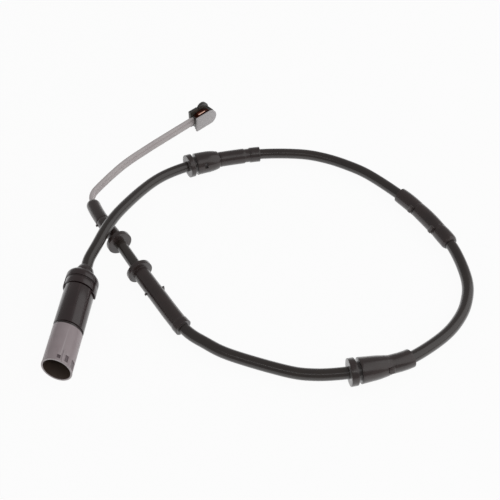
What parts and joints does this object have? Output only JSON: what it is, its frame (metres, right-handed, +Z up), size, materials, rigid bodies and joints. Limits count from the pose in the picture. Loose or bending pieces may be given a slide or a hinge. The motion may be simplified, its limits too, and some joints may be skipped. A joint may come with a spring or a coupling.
{
  "type": "brake pad wear sensor",
  "caption": "Looped brake pad wear sensor harness: plug connector, black cable with moulded grommets, and a thin grey lead to a clip-in sensor head.",
  "frame": {"origin": "on the surface the harness lies on, under the middle of its box without the cable and the lead", "axes": "+Z up from the surface; +X to the right of the loop, with the plug at the -X side; the plug's open socket faces -Y"},
  "size_m": [0.1709, 0.1615, 0.0159],
  "materials": {
    "black_rubber": "satin",
    "black_plastic": "satin",
    "black_jacket": "satin",
    "grey_plastic": "satin",
    "pale_plastic": "satin",
    "grey_insulation": "satin",
    "blue_seal": "matte",
    "copper": "satin",
    "tinned_brass": "satin"
  },
  "bodies": {
    "root": {"connector_housing": "grey_plastic", "terminal_carrier": "black_plastic", "terminal_1": "tinned_brass", "terminal_2": "tinned_brass", "core_wire_1": "grey_insulation", "core_wire_2": "grey_insulation", "wire_seal": "blue_seal", "connector_sleeve": "black_plastic", "rear_cap": "black_plastic", "cable_boot": "black_rubber", "cable": "black_jacket", "grommet_1": "black_rubber", "grommet_2": "black_rubber", "grommet_3": "black_rubber", "grommet_4": "black_rubber", "grommet_5": "black_rubber", "splice_crimp_1": "tinned_brass", "splice_crimp_2": "tinned_brass", "sensor_lead": "grey_insulation", "head_body": "black_plastic", "wear_plate": "pale_plastic", "spring_clip": "copper", "wear_loop": "copper"}
  },
  "joints": []
}
